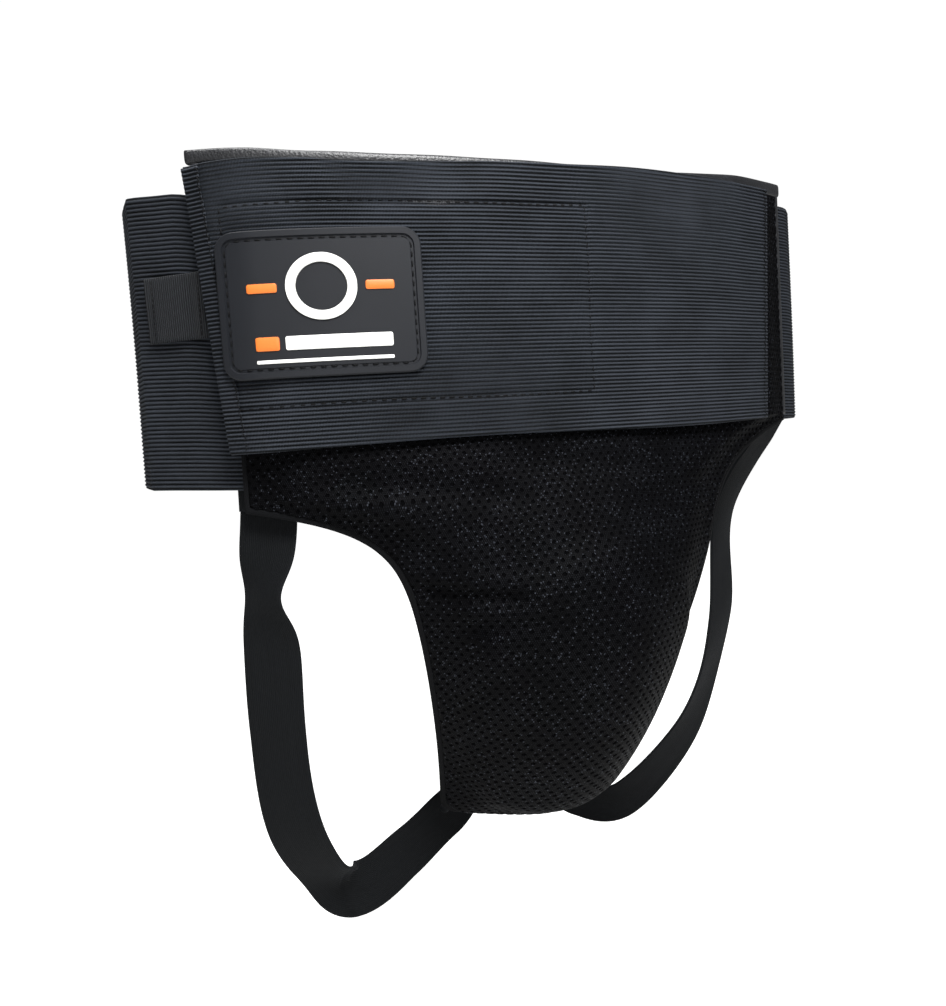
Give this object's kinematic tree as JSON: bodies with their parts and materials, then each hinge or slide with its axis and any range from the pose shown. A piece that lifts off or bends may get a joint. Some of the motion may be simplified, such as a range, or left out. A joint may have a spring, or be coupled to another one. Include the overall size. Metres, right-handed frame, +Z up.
{
  "type": "groin protector",
  "caption": "Padded groin protector with a mesh-covered front pad, wide elastic waistband closing with a hook-and-loop flap, and two webbing leg straps.",
  "frame": {"origin": "middle of the waist opening, half way up the elastic band", "axes": "+X to the right as seen from the front, +Y to the back, +Z up along the wearer's body"},
  "size_m": [0.3954, 0.1872, 0.379],
  "materials": {
    "elastic_band": "ribbed knitted elastic, faint sheen",
    "webbing": "fine ribbed polyester webbing",
    "grosgrain": "ribbed woven tape",
    "air_mesh": "perforated spacer mesh, matt",
    "lining": "smooth knitted lining",
    "foam": "soft closed-cell foam",
    "cup_plastic": "moulded",
    "cup_rubber": "soft moulded edge",
    "coated_fabric": "glossy grained polyurethane coat",
    "hook_tape": "hook tape",
    "loop_tape": "brushed loop tape",
    "thread": "twisted polyester thread",
    "badge_rubber": "moulded, matt",
    "badge_pale": "moulded inlay",
    "badge_orange": "moulded inlay"
  },
  "bodies": {
    "panel": {"rear_waistband": "elastic_band", "inner_lining": "lining", "pad_foam": "foam", "cup_shell": "cup_plastic", "cup_rim": "cup_rubber", "mesh_cover": "air_mesh", "loop_panel": "loop_tape", "top_binding": "coated_fabric", "end_binding_left": "coated_fabric", "end_binding_right": "coated_fabric", "leg_binding_left": "coated_fabric", "leg_binding_right": "coated_fabric", "crotch_binding": "coated_fabric", "strap_hip_end_left": "webbing", "strap_hip_end_right": "webbing", "strap_crotch_end_left": "webbing", "strap_crotch_end_right": "webbing", "band_join_stitching": "thread"},
    "flap": {"front_flap": "elastic_band", "hook_patch": "hook_tape", "flap_end_hem": "elastic_band", "hem_stitching": "thread", "flap_seam_stitching": "thread", "patch_stitching": "thread", "badge_base": "badge_rubber", "badge_rim": "badge_rubber", "badge_ring": "badge_pale", "badge_bars": "badge_orange", "badge_stitching": "thread"},
    "tab": {"pull_tab": "grosgrain", "pull_tab_stitching": "thread"},
    "strap_left": {"leg_strap_left": "webbing"},
    "strap_right": {"leg_strap_right": "webbing"}
  },
  "joints": [
    {"name": "flap_open", "type": "hinge", "parent": "panel", "child": "flap", "pos_m": [0.13286, -0.07971, 0], "axis": [0, 0, 1], "range_deg": [0, 130]},
    {"name": "tab_lift", "type": "hinge", "parent": "flap", "child": "tab", "pos_m": [-0.16826, -0.05464, 0.004], "axis": [0, 0, 1], "range_deg": [0, 70]},
    {"name": "left_strap_swing", "type": "hinge", "parent": "panel", "child": "strap_left", "pos_m": [-0.1483, -0.05497, -0.09856], "axis": [0.4613, 0.2719, -0.8446], "range_deg": [-15, 15]},
    {"name": "right_strap_swing", "type": "hinge", "parent": "panel", "child": "strap_right", "pos_m": [0.14775, -0.05497, -0.07248], "axis": [-0.491, 0.2285, -0.8407], "range_deg": [-15, 15]}
  ]
}
